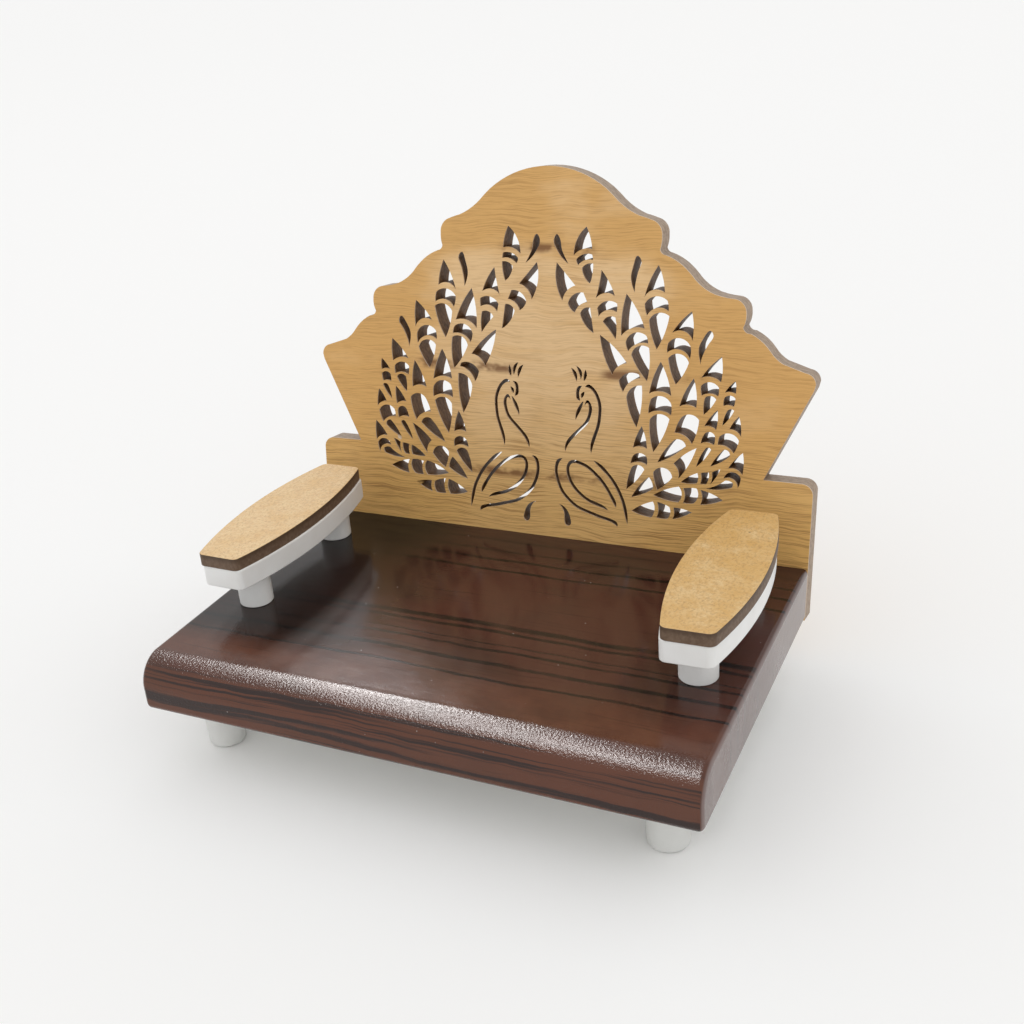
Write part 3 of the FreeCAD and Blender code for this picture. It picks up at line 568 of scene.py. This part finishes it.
def smoothShade(piece, angle=smoothBelow):
    takeUp(piece)
    bpy.ops.object.shade_smooth_by_angle(angle=math.radians(angle))
    weights = piece.modifiers.new("weights", "WEIGHTED_NORMAL")
    weights.keep_sharp = True
    bpy.ops.object.modifier_apply(modifier=weights.name)


def workedCopy(node, name):  # a merged copy of a CAD node, ready to be worked on
    piece = bpy.data.objects.new(name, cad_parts[node].data.copy())
    bpy.context.scene.collection.objects.link(piece)
    edit(piece)
    bpy.ops.mesh.select_all(action="SELECT")
    bpy.ops.mesh.remove_doubles(threshold=mergeWithin)
    bpy.ops.mesh.dissolve_limited(angle_limit=flatWithin)
    bpy.ops.object.mode_set(mode="OBJECT")
    return piece


def onBody(piece, node, material):
    paint(piece, material)
    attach(piece, "root")
    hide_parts(node)


# Seat foil: the glossy skin over the top, the nose and both ends

seatSkin = {
    "noseRadius": 10 * mm,
    "heelRadius": 2.5 * mm,
    "sideRound": 1.8 * mm,
    "thickness": 0.5 * mm,
    "noseSteps": 24,
    "heelSteps": 8,
    "sideSteps": 6,
}


def makeSeatFoil():
    low, high = seatLow, seatHigh
    letGo()
    bpy.ops.mesh.primitive_cube_add(size=1, location=(low + high) / 2)
    piece = bpy.context.object
    piece.name = "seatFoil"
    piece.scale = high - low
    settle(piece)
    edit(piece)
    bpy.ops.mesh.select_all(action="SELECT")
    outOfPanel = Vector((0, math.cos(lean), -math.sin(lean)))
    bpy.ops.mesh.bisect(plane_co=high, plane_no=outOfPanel, use_fill=True, clear_outer=True)

    def alongFront(height):
        return lambda edge: level(1, low.y)(edge) and level(2, height)(edge)

    pick(piece, "EDGE", alongFront(high.z))
    bevel(seatSkin["noseRadius"], seatSkin["noseSteps"])
    pick(piece, "EDGE", alongFront(low.z))
    bevel(seatSkin["heelRadius"], seatSkin["heelSteps"])

    def atRear(item):
        return all(abs((end.co - high).dot(outOfPanel)) < near for end in item.verts)

    def alongEnd(edge):
        return (level(0, low.x)(edge) or level(0, high.x)(edge)) and not atRear(edge)

    pick(piece, "EDGE", alongEnd)
    bevel(seatSkin["sideRound"], seatSkin["sideSteps"])
    pick(piece, "FACE", lambda face: atRear(face) or level(2, low.z)(face))
    bpy.ops.mesh.delete(type="FACE")
    settle(piece)
    skin = piece.modifiers.new("skin", "SOLIDIFY")
    skin.thickness = seatSkin["thickness"]
    skin.offset = -1
    bpy.ops.object.modifier_apply(modifier=skin.name)
    smoothShade(piece)
    onBody(piece, "seat_foil", finishes["foil"])
    return piece


seatFoil = makeSeatFoil()
print("seat foil:", len(seatFoil.data.polygons), "faces")


# Back panel. The walls of its outline are told apart from those of its windows, so that the outline walls
# can be painted paler, as painted light from above, and the window walls darker, burnt and in painted shade
# inside the holes.

wallLooksOut = 0.5      # walls look out of the panel's face by less than this, its two faces by one


def wallsRoundOutline(mesh):
    outOfFace = Vector((0, -math.cos(lean), math.sin(lean)))
    walls = {face for face in mesh.faces if abs(face.normal.dot(outOfFace)) < wallLooksOut}
    top = max(walls, key=lambda face: max(corner.co.z for corner in face.verts))
    found = {top}
    waiting = [top]
    while waiting:
        for edge in waiting.pop().edges:
            for face in edge.link_faces:
                if face in walls and face not in found:
                    found.add(face)
                    waiting.append(face)
    return found


def makeBackPanel():
    piece = workedCopy("back_panel", "backPanel")
    mesh = bmesh.new()
    mesh.from_mesh(piece.data)
    outer = mesh.faces.layers.float.new(oakPanel["outerMark"])
    for face in wallsRoundOutline(mesh):
        face[outer] = 1.0
    mesh.to_mesh(piece.data)
    mesh.free()
    smoothShade(piece)
    onBody(piece, "back_panel", finishes["oak"])
    return piece


backPanel = makeBackPanel()
print("back panel:", len(backPanel.data.polygons), "faces")


# Arms: the white plates and the fibreboard pads on them

armSlab = {"smoothBelow": 35}


def makeArmSlab(node, name, material):
    piece = workedCopy(node, name)
    smoothShade(piece, armSlab["smoothBelow"])
    onBody(piece, node, material)


for side in ("left", "right"):
    makeArmSlab(f"arm_plate_{side}", f"armPlate_{side}", finishes["white"])
    makeArmSlab(f"arm_pad_{side}", f"armPad_{side}", finishes["pad"])
print("arms: plates and pads")


# Posts and feet: each modelled once, upright on the origin, and copied to its places

armPost = {"radius": 5.8 * mm, "height": 12.2 * mm, "arris": 0.4 * mm, "sides": 96, "steps": 4}
seatFoot = {
    "soleRadius": 6.2 * mm,
    "topRadius": 6.8 * mm,
    "height": 20 * mm,
    "round": 1.4 * mm,
    "recessRadius": 3.2 * mm,
    "recessDepth": 4 * mm,
    "sides": 96,
    "steps": 8,
}


def makePost():
    letGo()
    bpy.ops.mesh.primitive_cylinder_add(vertices=armPost["sides"], radius=armPost["radius"],
                                        depth=armPost["height"], location=(0, 0, armPost["height"] / 2))
    piece = bpy.context.object
    settle(piece)
    edit(piece)
    pick(piece, "EDGE", lambda edge: level(2, 0)(edge) or level(2, armPost["height"])(edge))
    bevel(armPost["arris"], armPost["steps"])
    settle(piece)
    smoothShade(piece)
    return piece


def makeFoot():
    letGo()
    bpy.ops.mesh.primitive_cone_add(vertices=seatFoot["sides"], radius1=seatFoot["soleRadius"],
                                    radius2=seatFoot["topRadius"], depth=seatFoot["height"],
                                    location=(0, 0, seatFoot["height"] / 2))
    piece = bpy.context.object
    settle(piece)
    edit(piece)
    pick(piece, "EDGE", level(2, 0))
    bevel(seatFoot["round"], seatFoot["steps"])
    pick(piece, "FACE", level(2, 0))
    soleMesh = bmesh.from_edit_mesh(piece.data)
    flat = max(corner.co.x for face in soleMesh.faces if face.select for corner in face.verts)
    bpy.ops.mesh.inset(thickness=flat - seatFoot["recessRadius"])
    bpy.ops.mesh.extrude_region_move(TRANSFORM_OT_translate={"value": (0, 0, seatFoot["recessDepth"])})
    settle(piece)
    smoothShade(piece)
    return piece


def copyTo(pattern, nodes, stem, material):  # one copy for each node, each with its own mesh
    for node in nodes:
        low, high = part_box(node)
        piece = pattern.copy()
        piece.data = pattern.data.copy()
        piece.name = stem + node.split("_", 1)[1]
        bpy.context.scene.collection.objects.link(piece)
        piece.data.transform(Matrix.Translation(((low.x + high.x) / 2, (low.y + high.y) / 2, low.z)))
        onBody(piece, node, material)
    bpy.data.objects.remove(pattern)


copyTo(makePost(), [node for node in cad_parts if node.startswith("arm_post")],
       "arm_", finishes["white"])
copyTo(makeFoot(), [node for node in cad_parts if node.startswith(("foot_left", "foot_right"))],
       "seatFoot_", finishes["foot"])
print("posts and feet")


# Nodes that stay as they are and only get a finish

plainNodes = {
    "seat_core": "core",
    "seat_facing": "facing",
    "foot_screws": "steel",
    "arm_screws": "steel",
    "panel_screws": "steel",
}
for node, finish in plainNodes.items():
    paint(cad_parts[node], finishes[finish])
print("finished nodes:", len(plainNodes))


# Stage: a pale floor, soft light and the camera at the photograph's angle

stage = {
    "floorSize": 80.0,
    "pale": (0.93, 0.928, 0.92),    # the floor, and what is seen beyond it
    "sky": (1.0, 1.0, 1.0),
    "floorRoughness": 0.9,
    "floorSpecular": 0.1,
}


def makeFloor():
    letGo()
    bpy.ops.mesh.primitive_plane_add(size=stage["floorSize"])
    floor = bpy.context.object
    floor.name = "floor"
    pale = Finish("paleFloor", **{"Specular IOR Level": stage["floorSpecular"]})
    paint(floor, pale.finish(**{"Base Color": stage["pale"], "Roughness": stage["floorRoughness"]}))


def makeSky():
    world = bpy.data.worlds.new("sky")
    bpy.context.scene.world = world
    world.use_nodes = True
    sky = Graph(world.node_tree)
    light = sky.tree.nodes["Background"]
    sky.feed(light, {"Color": stage["sky"]})
    seen = sky.add("ShaderNodeBackground", None, {"Color": stage["pale"]})
    rays = sky.add("ShaderNodeLightPath").socket.node.outputs
    direct = Flow(sky, rays["Is Camera Ray"]).most(Flow(sky, rays["Is Glossy Ray"]))
    anyView = direct.most(Flow(sky, rays["Is Transmission Ray"]))
    mixed = sky.add("ShaderNodeMixShader", None, {0: anyView, 1: Flow(sky, light.outputs[0]), 2: seen})
    sky.feed(sky.tree.nodes["World Output"], {"Surface": mixed})


# Strips overhead, to the left. They only show as the gleam along the seat's nose
lamps = {
    "gleam": {"place": (-1.169, 0.30, 2.5), "along": (0.285, -0.959, 0), "size": (0.32, 4.15),
              "power": 145.0, "colour": (1.0, 0.98, 0.97)},
    "gleamEnd": {"place": (-0.741, -1.138, 2.5), "along": (0.285, -0.959, 0), "size": (0.38, 1.3),
                 "power": 15.0, "colour": (1.0, 0.98, 0.97)},
}


def makeLamp(name, facts):
    data = bpy.data.lights.new(name, "AREA")
    data.shape = "RECTANGLE"
    data.size, data.size_y = facts["size"]
    data.energy = facts["power"]
    data.color = facts["colour"]
    lamp = bpy.data.objects.new(name, data)
    lamp.visible_diffuse = False
    bpy.context.scene.collection.objects.link(lamp)
    place = Vector(facts["place"])
    back = (place - (cadBox[0] + cadBox[1]) / 2).normalized()
    width = Vector(facts["along"]).cross(back).normalized()
    lamp.matrix_world = (Matrix.Translation(place)
                         @ Matrix((width, back.cross(width), back)).transposed().to_4x4())


camera = {
    "place": (0.16947, -0.33451, 0.24215),
    "azimuth": 29.869,      # degrees round from straight in front
    "elevation": 25.578,
    "roll": -6.237,
    "lens": 45.247,
    "shift": (0.083, 0.0225),
}


def makeCamera():
    turn, lift, roll = (math.radians(camera[name]) for name in ("azimuth", "elevation", "roll"))
    back = Vector((math.sin(turn) * math.cos(lift), -math.cos(turn) * math.cos(lift), math.sin(lift)))
    flat = Vector((math.cos(turn), math.sin(turn), 0))
    steep = back.cross(flat)
    right = math.cos(roll) * flat + math.sin(roll) * steep
    up = math.cos(roll) * steep - math.sin(roll) * flat
    data = bpy.data.cameras.new("camera")
    data.lens = camera["lens"]
    data.shift_x, data.shift_y = camera["shift"]
    data.clip_start = 1 * mm
    data.clip_end = stage["floorSize"]
    eye = bpy.data.objects.new("camera", data)
    bpy.context.scene.collection.objects.link(eye)
    eye.matrix_world = (Matrix.Translation(camera["place"])
                        @ Matrix((right, up, back)).transposed().to_4x4())
    bpy.context.scene.camera = eye


makeFloor()
makeSky()
for name, facts in lamps.items():
    makeLamp(name, facts)
makeCamera()
bpy.context.scene.view_settings.view_transform = "Standard"
print("stage: floor, sky, lamps and camera")
